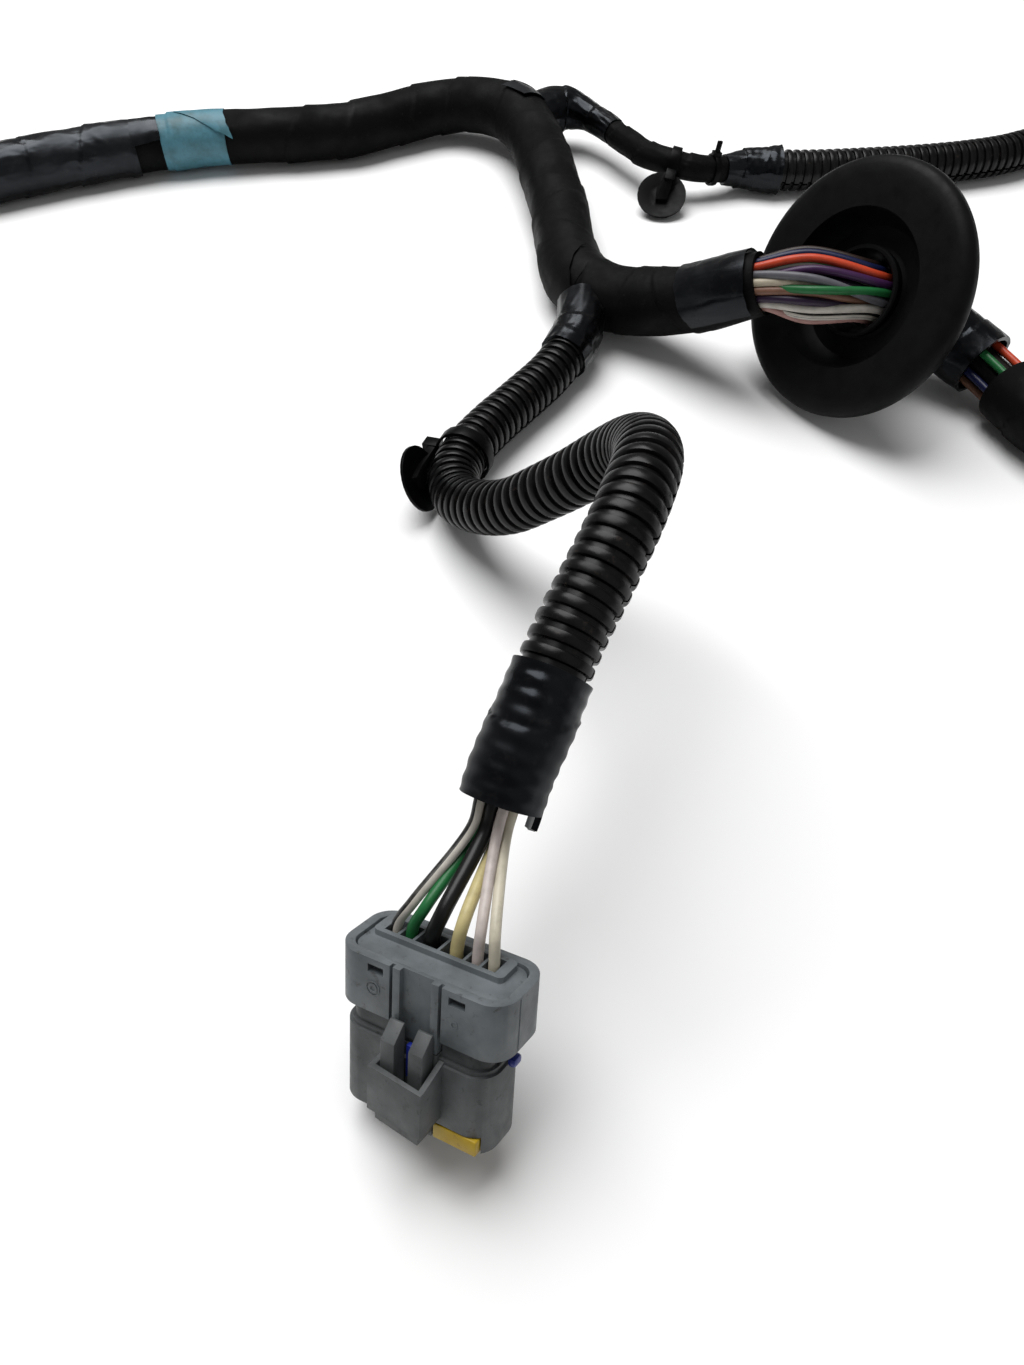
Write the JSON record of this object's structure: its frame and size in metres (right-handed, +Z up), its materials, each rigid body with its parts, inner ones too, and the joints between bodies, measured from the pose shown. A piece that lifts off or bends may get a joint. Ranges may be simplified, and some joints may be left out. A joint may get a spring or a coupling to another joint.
{
  "type": "wiring harness",
  "caption": "Vehicle wiring harness: taped trunk with two junctions, clipped side branch, rubber bulkhead grommet and a corrugated conduit leg to a sealed connector.",
  "frame": {"origin": "middle of the bounding box on the surface that the harness lies on", "axes": "+X from the trunk's left end towards the grommet, +Y away from the six-way connector, +Z up"},
  "size_m": [0.6148, 0.4508, 0.0828],
  "materials": {
    "blue_seal": "silicone",
    "clip_nylon": "moulded nylon",
    "cloth_tape": "matt woven cloth tape",
    "conduit": "extruded corrugated polypropylene",
    "connector_cap": "moulded PBT, satin",
    "connector_grey": "moulded PBT, satin",
    "grommet_rubber": "moulded EPDM rubber",
    "plug_grey": "moulded PBT, satin",
    "teal_tape": "matt paper-backed tape",
    "terminals": "tin plated",
    "vinyl_tape": "glossy wound PVC tape",
    "wire_black": "extruded PVC wire insulation",
    "wire_brown": "extruded PVC wire insulation",
    "wire_cream": "extruded PVC wire insulation",
    "wire_green": "extruded PVC wire insulation",
    "wire_grey": "extruded PVC wire insulation",
    "wire_navy": "extruded PVC wire insulation",
    "wire_orange": "extruded PVC wire insulation",
    "wire_pink": "extruded PVC wire insulation",
    "wire_pink_white": "extruded PVC wire insulation",
    "wire_plum": "extruded PVC wire insulation",
    "wire_tan": "extruded PVC wire insulation",
    "wire_violet": "extruded PVC wire insulation",
    "wire_white": "extruded PVC wire insulation",
    "wire_white_black": "extruded PVC wire insulation",
    "wire_yellow": "extruded PVC wire insulation",
    "yellow_lock": "moulded PBT"
  },
  "bodies": {
    "root": {"grommet": "grommet_rubber", "connector_cap": "connector_cap", "connector_rear_plate": "connector_cap", "connector_housing": "connector_grey", "connector_latch": "connector_grey", "terminal_block": "connector_grey", "mating_seal": "blue_seal", "terminal_lock": "yellow_lock", "terminal_1": "terminals", "terminal_2": "terminals", "terminal_3": "terminals", "terminal_4": "terminals", "terminal_5": "terminals", "terminal_6": "terminals", "vinyl_tape_left": "vinyl_tape", "cloth_tape_collar": "cloth_tape", "teal_tape_band": "teal_tape", "cloth_tape_left": "cloth_tape", "cloth_tape_middle": "cloth_tape", "cloth_tape_right": "cloth_tape", "branch_tape": "vinyl_tape", "branch_taper_wrap": "vinyl_tape", "branch_conduit": "conduit", "conduit_root_wrap": "vinyl_tape", "main_conduit": "conduit", "conduit_end_tape": "vinyl_tape", "bundle_wire_brown": "wire_brown", "bundle_wire_navy": "wire_navy", "bundle_wire_orange": "wire_orange", "bundle_wire_violet": "wire_violet", "bundle_wire_grey": "wire_grey", "bundle_wire_cream": "wire_cream", "bundle_wire_tan": "wire_tan", "bundle_wire_green": "wire_green", "bundle_wire_plum": "wire_plum", "bundle_wire_white": "wire_white", "bundle_wire_pink": "wire_pink", "bundle_inner_wires": "wire_grey", "rear_vinyl_wrap": "vinyl_tape", "rear_tape": "cloth_tape", "rear_wire_brown": "wire_brown", "rear_wire_orange": "wire_orange", "rear_wire_green": "wire_green", "rear_wire_navy": "wire_navy", "rear_wire_tan": "wire_tan", "rear_wire_black": "wire_black", "leg_wire_white_black": "wire_white_black", "leg_wire_green": "wire_green", "leg_wire_black": "wire_black", "leg_wire_yellow": "wire_yellow", "leg_wire_pink_white": "wire_pink_white", "leg_wire_cream": "wire_cream", "branch_clip": "clip_nylon", "branch_tie": "clip_nylon", "conduit_clip": "clip_nylon", "left_plug": "plug_grey", "branch_plug": "plug_grey", "rear_plug": "plug_grey"}
  },
  "joints": []
}
